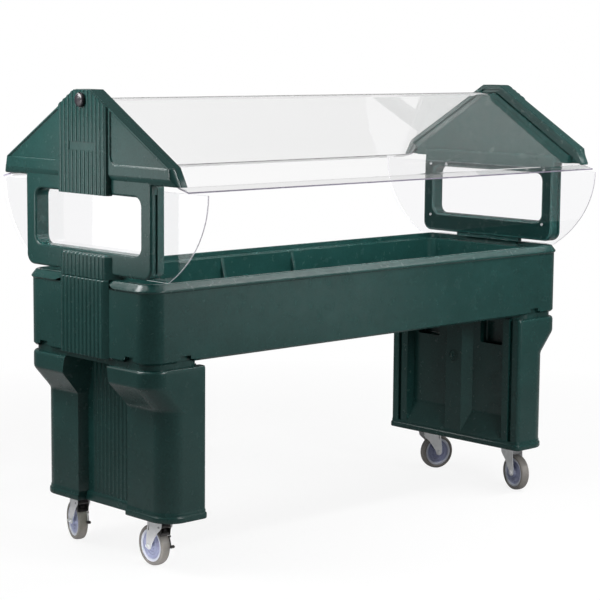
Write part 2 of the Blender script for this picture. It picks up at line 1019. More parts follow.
    def pan_support(self, x: float, side: int) -> bpy.types.Object:
        """Makes a slanting rib on a long wall of the well.

        Args:
            x: Its place along the wall.
            side: The sign of the wall's Y.

        Returns:
            The rib.
        """
        section = [(268, 852), (263.5, 848), (247, 792), (246, 780), (246, 752), (268, 736)]
        rib = stack("pan_support", [[(x + dx, side * y, z) for y, z in section]
                                    for dx in (-self.support_half_t, self.support_half_t)])
        round_edges(rib, 1.5, 2)
        return rib

    def build(self, finishes: Finishes) -> None:
        """Builds and dresses the tub.

        Args:
            finishes: The finishes.
        """
        parts = [self.shell()]
        for end in End:
            parts += [turn_to_end(part, end)
                      for part in (self.end_strip(), self.end_pad(), self.seat_pad())]
        parts += [self.pan_support(x, side) for x in (-self.support_x, self.support_x)
                  for side in (-1, 1)]
        tub = joined("tub_moulding", parts)
        soften(tub)
        finishes.dress(tub, GREEN, "cabinet", "tub")


@dataclass
class Pedestal:
    """A hollow pedestal with a flared top, a ribbed recess and a relieved inner face.

    Attributes:
        end: The end of the tub that it stands under.
        out_x: Its outer face.
        in_x: Its inner face.
        half_w: Half its width.
        outer_r: Radius of its outer corners.
        inner_r: Radius of its inner corners.
        flare: How far its top stands out.
        foot_z: Height of its foot.
        top_z: Height of its top.
        recess_x: Floor of the recess in its outer face.
        recess_half_w: Half that floor's width, which the ribs stay within.
        groove_y: Middle of the groove near each edge of its inner face.
        groove_depth: Depth of that groove.
        relief_y: Where the inner face's wide recesses begin.
        relief_depth: Depth of these recesses.
        post_y: Half the width of the post between them.
        post_slant: How much wider the post is at the recesses' floor.
        pocket_y: Place of the pockets for the bolts.
        pocket_half_w: Half a pocket's width.
        plug_z: Height of the screw plug.
    """

    end: End
    out_x: float = 867.0
    in_x: float = 713.0
    half_w: float = 305.5
    outer_r: float = 65.0
    inner_r: float = 12.0
    flare: float = 63.0
    foot_z: float = 158.0
    top_z: float = 617.4
    recess_x: float = 836.0
    recess_half_w: float = 86.0
    groove_y: float = 264.0
    groove_depth: float = 12.0
    relief_y: float = 228.0
    relief_depth: float = 30.0
    post_y: float = 37.0
    post_slant: float = 28.0
    pocket_y: float = 149.0
    pocket_half_w: float = 53.0
    plug_z: float = 460.0

    def plan(self, grow: float, flare: float, edge: float, floor: float, floor_x: float,
             relief: float, lip: float = 0.0) -> Plan:
        """Plan of the pedestal at one height.

        Args:
            grow: How far the foot bead stands out.
            flare: How far the outer face has moved out.
            edge: Half width of the recess at the face.
            floor: Half width of its floor.
            floor_x: Where its floor lies.
            relief: How deep the inner face's recesses are at this height, from 0 to 1.
            lip: How far the flare's edge is rounded back.

        Returns:
            The points, counterclockwise, as many at each height.
        """
        w, x0 = self.half_w + grow - lip * 0.6, self.in_x - grow
        x1 = self.out_x + grow + flare - lip
        r1, r0 = self.outer_r + grow, self.inner_r + grow
        half: Plan = [(floor_x, floor), (x1, edge)]
        half += arc(x1 - r1, w - r1, r1, 0, 90, 12) + arc(x0 + r0, w - r0, r0, 90, 180, 5)
        groove_x = x0 + (self.groove_depth if relief > 0 else 0)
        half += [(x0, self.groove_y + 8), (groove_x, self.groove_y + 7),
                 (groove_x, self.groove_y - 7), (x0, self.groove_y - 8)]
        relief_x = x0 + self.relief_depth * relief
        half += [(x0, self.relief_y), (relief_x, self.relief_y - 6),
                 (relief_x, self.post_y + self.post_slant * relief), (x0, self.post_y)]
        return half + [(x, -y) for x, y in reversed(half)]

    def body(self) -> bpy.types.Object:
        """Makes the moulding, from the foot bead up to the flare's lip.

        Returns:
            The moulding, with its pockets and the plug's seat cut.
        """
        z, full, floor_x = self.foot_z, self.flare, self.recess_x
        bead = [(0, 3.5), (2.2, 5.2), (4.5, 5.5), (13.5, 5.5), (16.5, 4.6), (18, 2.4)]
        levels = [(z + up, self.plan(grow, 0, 118, 117, 841.5, 0)) for up, grow in bead]
        sill = [(20, 1.8, 118.5, 116.5, 841.2, 0), (25, 1.8, 119, 116, 841, 0),
                (28, 0.6, 120, 113, 839, 0), (30, 0, 120.5, 111, 837, 0.02),
                (36, 0, 121, 110, floor_x, 0.1), (100, 0, 121, 110, floor_x, 0.94)]
        levels += [(z + up, self.plan(grow, 0, edge, floor, x, relief))
                   for up, grow, edge, floor, x, relief in sill]
        face = [(z + 112, 0, 121, 110, 0), (488, 0, 121, 110, 0), (494, 1.5, 121, 109, 0),
                (500, 5.5, 120.5, 108, 0), (559, full - 5.5, 115, 94.5, 0),
                (565, full - 1.5, 114.3, 93.2, 0), (571, full, 113, 92, 0),
                (607, full, 105, 84, 0), (612.5, full, 104, 83, 1.2),
                (616, full, 103.5, 82.3, 3.5), (self.top_z, full, 103, 82, 7)]
        levels += [(height, self.plan(0, out, edge, floor, floor_x, 1, lip))
                   for height, out, edge, floor, lip in face]
        body = prism_z("pedestal_body", levels)
        for y in (-self.pocket_y, self.pocket_y):
            cut(body, block("pocket", (740, y - self.pocket_half_w, 515),
                            (779, y + self.pocket_half_w, 600), 8))
        cut(body, self.plug_seat())
        return body

    def plug_seat(self) -> bpy.types.Object:
        """Cutter of the round seat of the screw plug."""
        return turned("seat", [(0, -2), (21, -2), (21, 4), (0, 4)], (self.in_x, 0, self.plug_z),
                      X_AXIS, closed=False)

    def plug(self) -> bpy.types.Object:
        """Makes the screw plug in the inner face, with its grip ring and centre.

        Returns:
            The plug.
        """
        profile = [(0, 23), (17, 23), (17, 4), (20, 4), (20, 1.8), (19.2, 1.1), (16.4, 1.0),
                   (15.6, 2.6), (12.8, 2.8), (12, 1.4), (9.4, 1.2), (8.4, 6.5), (4.0, 6.5),
                   (3.7, 2.2), (2.8, 1.4), (0, 1.3)]
        return turned("plug_" + self.end.word + "_cap", profile, (self.in_x, 0, self.plug_z),
                      X_AXIS, 40, False)

    def recess_ribs(self) -> bpy.types.Object:
        """Makes the ribs up the floor of the recess.

        Returns:
            The ribs, on a plate that lies in the floor.
        """
        w, back_x, foot = self.recess_half_w, self.recess_x - 6, self.foot_z + 30
        steps = [(foot, 0.2), (foot + 6, 3), (616, 3)]
        return prism_z("recess_ribs", [
            (z, [(back_x, -w), *ribbed_front(self.recess_x + 0.2, w, out, 9), (back_x, w)])
            for z, out in steps])

    def build(self, finishes: Finishes) -> None:
        """Builds and dresses the pedestal.

        Args:
            finishes: The finishes.
        """
        name = "pedestal_" + self.end.word
        piece = joined(name + "_moulding", [self.body(), self.recess_ribs()])
        turn_to_end(piece, self.end)
        soften(piece)
        finishes.dress(piece, GREEN, "cabinet", name)
        plug = turn_to_end(self.plug(), self.end)
        soften(plug)
        finishes.dress(plug, GREEN, "cabinet", "pedestal_plug_" + self.end.word)


@dataclass
class EndFrame:
    """A gable with its hood, ribbed strip, window and foot block.

    Attributes:
        end: The end of the tub that it stands on.
        top_z: Height of its flat top.
        top_half_w: Half that top's width.
        knee_half_w: Half its width at the knees, where the roof lines end.
        knee_z: Height of the knees.
        plate_z: Lower edge of the front plate.
        hood_z: Lower edge of the hood.
        hood_half_w: Half the hood's width there.
        plate_x: Face of the front plate.
        slot_x: Back of the front plate.
        hood_x: Back of the hood's flange.
        flange: Thickness of that flange.
        panel_inner: Inner edge of a sunk panel.
        panel_foot: Lower edge of a sunk panel.
        panel_r: Radius of the corner between the two.
        panel_depth: How deep a panel is sunk.
        roof_lip: Width of the roof's lip beside a panel.
        canopy_gap: Room between the canopy's face and the walls beside it.
        strip_x: Face of the ribbed strip.
        strip_half_w: Half that face's width.
        frame_half_w: Half the window frame's width.
        frame_low: Its lower edge.
        frame_high: Its upper edge.
        frame_back_x: Its back.
        frame_front_x: Its face.
        window_half_w: Half the window's width.
        window_low: The window's lower edge.
        window_high: Its upper edge.
        foot_x: Face of the foot block.
        foot_half_w: Half that face's width.
    """

    end: End
    top_z: float = 1422.5
    top_half_w: float = 37.5
    knee_half_w: float = 391.0
    knee_z: float = 1211.0
    plate_z: float = 1177.5
    hood_z: float = 1157.0
    hood_half_w: float = 422.0
    plate_x: float = 932.0
    slot_x: float = 905.0
    hood_x: float = 884.0
    flange: float = 14.0
    panel_inner: float = 126.0
    panel_foot: float = 1206.0
    panel_r: float = 30.0
    panel_depth: float = 4.5
    roof_lip: float = 5.0
    canopy_gap: float = 0.6
    strip_x: float = 938.0
    strip_half_w: float = 114.5
    frame_half_w: float = 304.0
    frame_low: float = 883.0
    frame_high: float = 1180.0
    frame_back_x: float = 870.0
    frame_front_x: float = 923.0
    window_half_w: float = 255.0
    window_low: float = 949.0
    window_high: float = 1118.5
    foot_x: float = 937.5
    foot_half_w: float = 107.0

    @property
    def slope(self) -> float:
        """Rise of the roof line for each millimetre across."""
        return (self.top_z - self.knee_z) / (self.knee_half_w - self.top_half_w)

    @property
    def tilt(self) -> float:
        """The roof line's angle, in radians."""
        return math.atan(self.slope)

    def roof_z(self, y: float) -> float:
        """Height of the roof line at a distance from the middle."""
        return self.top_z - self.slope * (abs(y) - self.top_half_w)

    def plate(self) -> bpy.types.Object:
        """Makes the front plate with its two sunk panels.

        Returns:
            The plate.
        """
        half = [(self.knee_half_w + 7, self.plate_z), (self.knee_half_w, self.knee_z),
                (self.top_half_w, self.top_z)]
        plate = prism_x("gable_plate", mirrored(half), self.slot_x, self.plate_x)
        for side in (-1, 1):
            cut(plate, self.panel_cutter(side))
        round_edges(plate, 2.2, 3)
        return plate

    def panel_cutter(self, side: int) -> bpy.types.Object:
        """Makes the cutter of a three-cornered panel with a round inner foot.

        Args:
            side: The sign of its Y.

        Returns:
            The cutter, a little smaller at the panel's floor.
        """
        inner, foot, r = self.panel_inner, self.panel_foot, self.panel_r
        lip = self.roof_lip / math.cos(self.tilt)
        outer = self.top_half_w + (self.top_z - lip - foot) / self.slope
        half = [(outer, foot), (inner, self.roof_z(inner) - lip)]
        half += arc(inner + r, foot + r, r, 180, 270, 8)
        centre_y = sum(y for y, _ in half) / len(half)
        centre_z = sum(z for _, z in half) / len(half)
        rings: list[Ring] = []
        for x, inset in ((self.plate_x - self.panel_depth, 2.0), (self.plate_x + 1, 0.0)):
            shrink = 1 - inset / 80
            rings.append([(x, side * (centre_y + (y - centre_y) * shrink),
                           centre_z + (z - centre_z) * shrink) for y, z in half])
        return stack("panel", rings)

    def skirt_ring(self, x: float, low_w: float, low_z: float) -> Ring:
        """The skirt's section at x, from its lower edge up to the knees."""
        half = [(low_w, low_z), (self.knee_half_w, self.knee_z - 0.5)]
        return [(x, y, z) for y, z in mirrored(half)]

    def skirt(self) -> bpy.types.Object:
        """Makes the hood's lower part, whose underside slopes back and outwards.

        Returns:
            The skirt.
        """
        skirt = stack("hood_skirt", [
            self.skirt_ring(self.slot_x, self.hood_half_w, self.hood_z),
            self.skirt_ring(self.plate_x - 12, self.hood_half_w, self.hood_z),
            self.skirt_ring(self.plate_x - 0.5, 397.6, self.plate_z + 0.5)])
        round_edges(skirt, 4.5, 4)
        return skirt

    def flange_band(self) -> bpy.types.Object:
        """Makes the flange behind the plate, over the canopy.

        Returns:
            The flange.
        """
        drop = self.flange / math.cos(self.tilt)
        run = drop / self.slope
        outer = [(self.hood_half_w, self.hood_z), (self.knee_half_w, self.knee_z),
                 (self.top_half_w, self.top_z)]
        inner = [(self.top_half_w, self.top_z - drop),
                 (self.knee_half_w - run * 0.45, self.knee_z - 11),
                 (self.hood_half_w - self.flange + 1.5, self.hood_z)]
        line = [(-y, z) for y, z in outer] + [(y, z) for y, z in reversed(outer)]
        back = [(y, z) for y, z in reversed(inner)] + [(-y, z) for y, z in inner]
        band = prism_x("hood_flange", line + back, self.hood_x, self.slot_x + 2)
        round_edges(band, 2.0, 3)
        return band

    def canopy_side(self, side: int) -> Plan:
        """The line beside one face of the canopy's sheet, from the hood's edge to the ridge.

        Args:
            side: 1 for over the sheet, -1 for under it.

        Returns:
            The points, as y and z.
        """
        canopy = Canopy()
        line = canopy.side_line(side * (canopy.sheet / 2 + self.canopy_gap))
        return [(y, z) for y, z in reversed(line) if z > self.hood_z + 1]

    def gap_wall(self) -> bpy.types.Object:
        """Makes the recessed wall between the flange and the canopy.

        Returns:
            The wall.
        """
        drop = (self.flange - 2) / math.cos(self.tilt)
        roof = [(self.top_half_w, self.top_z - drop), (self.knee_half_w - 7, self.knee_z - 8),
                (self.hood_half_w - self.flange + 5, self.hood_z + 1)]
        sheet = self.canopy_side(1)
        half = [(sheet[0][0] + 1.5, self.hood_z + 1), *sheet]
        outline = ([(-y, z) for y, z in reversed(roof)] + roof + half
                   + [(-y, z) for y, z in reversed(half)][1:])
        return prism_x("gap_wall", outline, 893.0, self.slot_x + 1)

    def inner_wall(self) -> bpy.types.Object:
        """Makes the wall under the canopy's end.

        Returns:
            The wall.
        """
        sheet = self.canopy_side(-1)
        half = [(sheet[0][0] + 1.5, self.hood_z), *sheet]
        wall = prism_x("hood_inner", mirrored(half), self.hood_x + 1, self.slot_x + 2)
        round_edges(wall, 1.5, 2)
        return wall

    def strip(self) -> bpy.types.Object:
        """Makes the ribbed strip up the gable, with the bare plate recess and the knob's seat.

        Returns:
            The strip.
        """
        face, w = self.strip_x, self.strip_half_w
        side = [(face, w), (self.plate_x, w + 4.5), (918, w + 5.5)]
        plan = ([(x, -y) for x, y in reversed(side)] + ribbed_front(face, w - 1.5, 3, 12) + side)
        strip = prism_z("gable_strip", [(1116, plan), (self.top_z + 7.5, plan)])
        for sign in (-1, 1):
            slice_off(strip, (0, sign * self.top_half_w, self.top_z - 1.5),
                      Vector((0, sign * math.sin(self.tilt), math.cos(self.tilt))))
        slice_off(strip, (0, 0, self.top_z - 1), Z_AXIS)
        cut(strip, block("plate_recess", (face - 1.2, -61, 1244), (face + 9, 61, 1270)))
        cut(strip, turned("knob_seat", [(0, 0), (24, 0), (24, 9), (0, 9)],
                          (face - 0.4, 0, KNOB_Z), X_AXIS, closed=False))
        return strip

    def window_frame(self) -> bpy.types.Object:
        """Makes the frame round the window, with a groove down each side.

        Returns:
            The frame.
        """
        def upright(half_w: float, low: float, high: float, r: float) -> Plan:
            """A rounded rectangle between two heights, as y and z."""
            return rounded_rectangle(half_w, (high - low) / 2, r, 8, cy=(high + low) / 2)
        frame = prism_x("window_frame",
                        upright(self.frame_half_w, self.frame_low, self.frame_high, 33),
                        self.frame_back_x, self.frame_front_x)
        cut(frame, prism_x("window",
                           upright(self.window_half_w, self.window_low, self.window_high, 27),
                           self.frame_back_x - 10, self.frame_front_x + 7))
        round_edges(frame, 8.0, 5, 50)
        for side in (-1, 1):
            y = side * self.frame_half_w
            cut(frame, block("groove", (898, y - 6, 860), (909, y + 6, 1150), 2))
        return frame

    def lintel(self) -> bpy.types.Object:
        """The square-ended part of the frame over the window, up into the hood."""
        half_w = self.frame_half_w - 1
        return block("lintel", (self.frame_back_x + 1, -half_w, 1127),
                     (self.frame_front_x - 1, half_w, 1182), 5)

    def foot_plan(self, out: float, back: float) -> Plan:
        """Plan of the foot block at one height.

        Args:
            out: How far its ribs stand out.
            back: How far its faces are moved back.

        Returns:
            The points.
        """
        x, w = self.foot_x - back, self.foot_half_w
        half = [(x, w - back), (self.frame_front_x - back, w + 19 - back),
                (900, w + 39 - back), (882, w + 39 - back)]
        return ([(x, -w + back)] + ribbed_front(x, w - 3, out, 11) + half
                + [(a, -b) for a, b in reversed(half[1:])])

    def foot_block(self) -> bpy.types.Object:
        """The block that carries the frame on the tub's end."""
        steps = [(870.2, 3, 0), (933, 3, 0), (938, 2.4, 1.5), (942, 0.3, 6)]
        return prism_z("foot_block", [(z, self.foot_plan(out, back)) for z, out, back in steps])

    def build(self, finishes: Finishes) -> None:
        """Builds and dresses the end frame.

        Args:
            finishes: The finishes.
        """
        name = "end_frame_" + self.end.word
        parts = [self.plate(), self.skirt(), self.flange_band(), self.inner_wall(),
                 self.gap_wall(), self.strip(), self.window_frame(), self.lintel(),
                 self.foot_block()]
        piece = joined(name + "_moulding", parts)
        turn_to_end(piece, self.end)
        soften(piece)
        finishes.dress(piece, GREEN, "cabinet", name)


@dataclass
class Canopy:
    """The clear canopy, one folded sheet from lip to lip.

    Attributes:
        half_l: Half its length.
        sheet: Its thickness.
        apex_z: Height where the two roof lines of its middle would meet.
        ridge_r: Radius of its ridge.
        knee: The first fold of the middle line, as y and z.
        fold: The second fold.
        lip: The edge.
        knee_r: Radius of the first fold.
        fold_r: Radius of the second fold.
    """

    half_l: float = 905.0
    sheet: float = 4.5
    apex_z: float = 1404.93
    ridge_r: float = 62.75
    knee: tuple[float, float] = (357.0, 1186.5)
    fold: tuple[float, float] = (406.0, 1154.75)
    lip: tuple[float, float] = (449.75, 1143.75)
    knee_r: float = 20.0
    fold_r: float = 12.0

    def bend(self, a: Vector, b: Vector, c: Vector, r: float, steps: int) -> list[Vector]:
        """Points of a round bend between two straight runs.

        Args:
            a: A point of the run before the bend.
            b: Where the two runs would meet.
            c: A point of the run after it.
            r: Radius of the bend.
            steps: How many steps it takes.

        Returns:
            The points.
        """
        into, out = (b - a).normalized(), (c - b).normalized()
        turn = math.atan2(into.x * out.y - into.y * out.x, into.dot(out))
        side = 1 if turn > 0 else -1
        start = b - into * r * math.tan(abs(turn) / 2)
        centre = start + Vector((-into.y, into.x)) * r * side
        first = start - centre
        angle = math.atan2(first.y, first.x)
        return [centre + r * Vector((math.cos(angle + turn * i / steps),
                                     math.sin(angle + turn * i / steps)))
                for i in range(steps + 1)]

    def middle_line(self) -> list[Vector]:
        """The middle of the sheet from the ridge to the back lip.

        Returns:
            The points, as y and z.
        """
        apex, knee = Vector((0, self.apex_z)), Vector(self.knee)
        fold, lip = Vector(self.fold), Vector(self.lip)
        front = Vector((-knee.x, knee.y))
        ridge = self.bend(front, apex, knee, self.ridge_r, 16)
        return (ridge[8:] + self.bend(apex, knee, fold, self.knee_r, 6)
                + self.bend(knee, fold, lip, self.fold_r, 5) + [lip])

    def side_line(self, offset: float) -> Plan:
        """The middle line moved to its outer side, from the ridge to the back lip.

        Args:
            offset: How far it is moved, less than 0 for the inner side.

        Returns:
            The points, as y and z.
        """
        half = self.middle_line()
        line = [Vector((-p.x, p.y)) for p in reversed(half[1:])] + half
        last = len(line) - 1
        moved: Plan = []
        for i in range(len(half) - 1, len(line)):
            before = (line[i] - line[i - 1]).normalized()
            after = (line[min(i + 1, last)] - line[min(i, last - 1)]).normalized()
            left, right = Vector((-before.y, before.x)), Vector((-after.y, after.x))
            both = (left + right).normalized()
            spot = line[i] + both / both.dot(left) * offset
            moved.append((spot.x, spot.y))
        return moved

    def build(self, finishes: Finishes) -> None:
        """Builds and dresses the canopy, with its sawn edges and its ridge.

        Args:
            finishes: The finishes.
        """
        outer, inner = self.side_line(self.sheet / 2), self.side_line(-self.sheet / 2)
        outline = ([(-y, z) for y, z in reversed(outer[1:])] + outer
                   + list(reversed(inner)) + [(-y, z) for y, z in inner[1:]])
        sheet = prism_x("canopy_sheet", outline, -self.half_l, self.half_l)
        soften(sheet, 30)
        finishes.dress(sheet, CLEAR, "cabinet", "canopy")
        x, y, z = range(3)
        for finish, axis, least, most in (
                (LIP_EDGE, x, 0.7, 1.1), (LIP_EDGE, x, -1.1, -0.7), (LIP_EDGE, y, -1.1, -0.9),
                (SHIELD_EDGE, y, 0.9, 1.1), (RIDGE, z, 0.995, 1.1)):
            finishes.frost_edges(sheet, finish, axis, least, most)


@dataclass
class EndShield:
    """The clear D-shaped shield at an end.

    Attributes:
        end: The end that it closes.
        inner_x: Its inner face.
        outer_x: Its outer face.
        half_w: Half its width, at its straight upper edge.
        high: Height of its upper edge.
        low: Height of its foot.
        foot_half_w: Half the foot's width, where the curve ends.
        steps: Steps in each half of the curve.
    """

    end: End
    inner_x: float = 865.0
    outer_x: float = 870.0
    half_w: float = 491.0
    high: float = 1137.0
    low: float = 874.0
    foot_half_w: float = 315.0
    steps: int = 40

    def build(self, finishes: Finishes) -> None:
        """Builds and dresses the shield.

        Args:
            finishes: The finishes.
        """
        foot_angle = math.asin(self.foot_half_w / self.half_w)
        depth = (self.high - self.low) / math.cos(foot_angle)
        half: Plan = []
        for i in range(self.steps + 1):
            a = foot_angle + (math.pi / 2 - foot_angle) * i / self.steps
            half.append((self.half_w * math.sin(a), self.high - depth * math.cos(a)))
        sheet = prism_x("shield_" + self.end.word, mirrored(half), self.inner_x, self.outer_x)
        round_edges(sheet, 0.8, 2)
        turn_to_end(sheet, self.end)
        soften(sheet, 30)
        finishes.dress(sheet, SHIELD, "cabinet", "end_shield_" + self.end.word)
        finishes.frost_edges(sheet, SHIELD_EDGE, 0, -0.8, 0.8)


@dataclass
class ClampKnob:
    """The domed knob that clamps the canopy's ridge, with its stud.

    Attributes:
        end: The end that it is screwed into.
        radius: Its radius.
        back_x: Its back.
        face_x: Top of its dome.
        stud_r: Radius of its stud.
        stud_l: Length of its stud.
    """

    end: End
    radius: float = 21.0
    back_x: float = 938.5
    face_x: float = 952.0
    stud_r: float = 4.0
    stud_l: float = 33.0

    def build(self, finishes: Finishes) -> None:
        """Builds and dresses the knob.

        Args:
            finishes: The finishes.
        """
        depth, r = self.face_x - self.back_x, self.radius
        stud = [(0, -self.stud_l), (self.stud_r, -self.stud_l), (self.stud_r, 0.5)]
        side = [(r - 1.5, 0), (r, 1.5), (r, depth - 6)]
        dome = [(r - 1, depth - 4), (r - 4, depth - 2.2), (r - 9, depth - 0.9),
                (r - 15, depth - 0.2), (0, depth)]
        knob = turned("knob_" + self.end.word + "_dome", stud + side + dome,
                      (self.back_x, 0, KNOB_Z), X_AXIS, 64, False)
        turn_to_end(knob, self.end)
        soften(knob)
        finishes.dress(knob, BLACK, "knob_" + self.end.word, "canopy_knob_" + self.end.word)


@dataclass
class Caster:
    """A swivel caster: its fork, its wheel and, on two of them, its brake lever.

    A caster is modelled with its swivel axis at X 0 and Y 0 and its wheel trailing along +X.

    Attributes:
        corner: The corner that it stands at.
        half_x: Distance of its swivel axis from the middle along X.
        half_y: The same along Y.
        trail: How far the wheel trails behind the swivel axis.
        wheel_r: Radius of the wheel, which is also its axle's height.
        tyre_half_w: Half the tyre's width.
        hub_r: Radius of the hub, inside the tyre.
        crown_z: Top of the fork's crown.
        leg_y: Inner face of a fork leg.
        leg_t: Thickness of a fork leg.
        cheek_y: Outer face of the brake's cheeks, and of its fender's ends.
        plate_y: Outer face of the brake's arm beside the tyre.
        plate_t: Thickness of that arm.
    """

    corner: Corner
    half_x: float = 798.0
    half_y: float = 200.5
    trail: float = 40.0
    wheel_r: float = 62.5
    tyre_half_w: float = 16.0
    hub_r: float = 50.5
    crown_z: float = 148.7
    leg_y: float = 19.0
    leg_t: float = 3.0
    cheek_y: float = 18.4
    plate_y: float = 18.5
    plate_t: float = 1.4

    def settle(self, piece: bpy.types.Object) -> bpy.types.Object:
        """Carries a piece modelled at the swivel axis to the caster's corner.

        Args:
            piece: The piece.

        Returns:
            The same piece.
        """
        x, y = self.corner.signs
        take(piece)
        piece.matrix_world = (Matrix.Translation(Vector((x * self.half_x, y * self.half_y, 0)) * MM)
                              @ Matrix.Rotation(math.radians(self.corner.heading), 4, "Z"))
        bpy.ops.object.transform_apply(location=True, rotation=True, scale=True)
        return piece

    def spun(self, name: str, half: Plan) -> bpy.types.Object:
        """Turns a profile that is the same on both sides of the wheel."""
        profile = half + [(r, -t) for r, t in reversed(half) if t > 0]
        return turned(name, profile, (self.trail, 0, self.wheel_r), Y_AXIS, 72)

    def tyre(self) -> bpy.types.Object:
        """Makes the tyre with its crowned tread and soft shoulders.

        Returns:
            The tyre.
        """
        r, w, hub = self.wheel_r, self.tyre_half_w, self.hub_r
        bead = [(hub, 0), (hub, w - 3.4), (hub + 0.8, w - 2), (hub + 2, w - 1),
                (hub + 3.6, w - 0.3), (hub + 5.2, w)]
        tread = [(r - 5.6, w - 0.2), (r - 4, w - 1), (r - 2.4, w - 2.6), (r - 1.2, w - 5),
                 (r - 0.5, w - 8.5), (r - 0.1, w - 12), (r, 0)]
        return self.spun("tyre_" + self.corner.word + "_tread", bead + tread)

    def hub(self) -> bpy.types.Object:
        """Makes the hub's web with its boss and its two concentric ridges.

        Returns:
            The web.
        """
        w = self.tyre_half_w
        boss = [(7.05, 0), (7.05, w + 1), (12.4, w + 1), (13, w + 0.4), (14.5, w - 1.5),
                (16, 8.4), (17.5, 7.2)]
        ridges = [(20, 6.8), (21.4, 8.8), (23.4, 8.8), (24.8, 6.8),
                  (29, 6.6), (30.4, 8.9), (32.4, 8.9), (33.8, 6.9)]
        edge = [(38, 7.2), (40, 9.6), (42, 10.2), (42, 0)]
        return self.spun("hub_" + self.corner.word + "_web", boss + ridges + edge)

    def hub_rim(self) -> bpy.types.Object:
        """Makes the hub's pale rim ring, which holds the tyre.

        Returns:
            The ring.
        """
        w, seat = self.tyre_half_w, self.hub_r - 0.1
        half = [(42.05, 0), (42.05, 10.4), (43, w - 4.2), (44.6, w - 3), (48.6, w - 2.6),
                (50, w - 3), (seat, w - 3.8), (seat, 0)]
        return self.spun("hub_" + self.corner.word + "_rim", half)

    def prism_y(self, name: str, outline: Plan, y0: float, y1: float) -> bpy.types.Object:
        """Extrudes an X-Z outline along the wheel's axis."""
        return stack(name, [[(x, y, z) for x, z in outline] for y in (y0, y1)])

    def fork_leg(self, side: int) -> bpy.types.Object:
        """Makes a pressed leg with rounded edges and its long slot.

        Args:
            side: The sign of its Y.

        Returns:
            The leg.
        """
        top = self.crown_z - 4
        outline = arc(self.trail, self.wheel_r, 12, 198, 365, 12)
        outline += [(52, 78), (49.5, 100), (47.5, 118), (46, 134), (46, top + 3)]
        outline += [(-24, top + 3), (-24, top - 8), (-22, 126), (-14, 117), (-2, 107), (10, 91),
                    (19, 77), (25.5, 68)]
        leg = self.prism_y("fork_leg", outline, side * self.leg_y,
                           side * (self.leg_y + self.leg_t))
        slot = rounded_rectangle(1.6, 8.4, 1.5, 3, 39.8, 118)
        cut(leg, self.prism_y("slot", slot, side * (self.leg_y - 3),
                              side * (self.leg_y + self.leg_t + 3)))
        round_edges(leg, 0.9, 2, 50)
        return leg

    def crown(self) -> bpy.types.Object:
        """Makes the crown over the wheel, with its raised ring round the kingpin.

        Returns:
            The crown.
        """
        top, half_w = self.crown_z, self.leg_y + self.leg_t
        plate = block("crown", (-36, -half_w, top - 4), (46, half_w, top), 1.2)
        ring = turned("crown_ring", [(10.6, -5.6), (25, -5.6), (26, -4.4), (26, 0), (10.6, 0)],
                      (0, 0, top), Z_AXIS, 40)
        return joined("crown", [plate, ring])

    def fork(self) -> bpy.types.Object:
        """The fork: two legs and the crown that joins them."""
        return joined("fork_" + self.corner.word + "_pressing",
                      [self.fork_leg(1), self.fork_leg(-1), self.crown()])

    def around(self, name: str, outer: Plan, inner: float, y0: float, y1: float
               ) -> bpy.types.Object:
        """Makes a plate round the wheel from its distances from the tread.

        Args:
            name: The object's name.
            outer: Each point's angle round the wheel and distance from the tread, by angle.
            inner: Distance of the plate's inner edge.
            y0: Where it begins along the axle.
            y1: Where it ends.

        Returns:
            The plate.
        """
        def spot(angle: float, distance: float) -> tuple[float, float]:
            """A point beside the tyre, as x and z."""
            a, r = math.radians(angle), self.wheel_r + distance
            return (self.trail + r * math.cos(a), self.wheel_r + r * math.sin(a))
        outline = [spot(a, d) for a, d in outer] + [spot(a, inner) for a, _ in reversed(outer)]
        return self.prism_y(name, outline, y0, y1)

    def brake_lever(self) -> bpy.types.Object:
        """Makes the brake's fender, cheeks, shoe, arm and foot tab.

        Returns:
            The lever, with the sleeve that turns on its pin.
        """
        cheek, face, back = self.cheek_y, -self.plate_y, self.plate_t - self.plate_y
        reach = [(100, 5.2), (104, 6.6), *((108 + 6 * i, 7.5) for i in range(6)), (142, 6.8),
                 (146, 5.6)]
        hump = [(106, 7), (110, 10.5), (115, 16), (120, 21.5), (125, 25), (129, 26), (133, 23.5),
                (137, 17.5), (141, 11), (145, 6.5)]
        parts = [
            self.around("fender", reach, 4, -cheek, cheek),
            *(self.around("cheek", hump, 5, y, y + 2) for y in (-cheek, cheek - 2)),
            self.around("shoe", [(122 + 3 * i, 16) for i in range(6)], 1.8, -6, 6),
            self.around("arm", [(144 + 4.4 * i, -1.5) for i in range(9)], -7.5, face, back),
            self.around("neck", [(146, 6), (149, 6), (152, 6)], -4, face, back),
            self.around("foot", [(173.5, 13), (176, 18), (179, 12)], -4, face, back),
            self.around("tab", [(172, 13.5), (175.5, 18), (179, 13)], 8, face + 0.3, -6)]
        for part in parts:
            round_edges(part, 0.6, 2, 50)
        sleeve = turned("sleeve", [(3.1, -16), (6, -16), (6, 16), (3.1, 16)],
                        (-12.0, 0.0, self.wheel_r + 65.5), Y_AXIS, 32)
        return joined("lever_" + self.corner.word + "_pressing", [*parts, sleeve])

    def build(self, finishes: Finishes) -> None:
        """Builds and dresses the caster.

        Args:
            finishes: The finishes.
        """
        word = self.corner.word
        pieces = [(self.tyre(), TYRE, "wheel_", "tyre_"), (self.hub(), HUB, "wheel_", "wheel_hub_"),
                  (self.hub_rim(), HUB_RIM, "wheel_", ""),
                  (self.fork(), ZINC, "swivel_", "caster_fork_")]
        if self.corner.braked:
            pieces.append((self.brake_lever(), DARK_STEEL, "brake_", "brake_lever_"))
        for piece, finish, body, node in pieces:
            self.settle(piece)
            soften(piece, 50)
            finishes.dress(piece, finish, body + word, *([node + word] if node else []))


# --- the studio


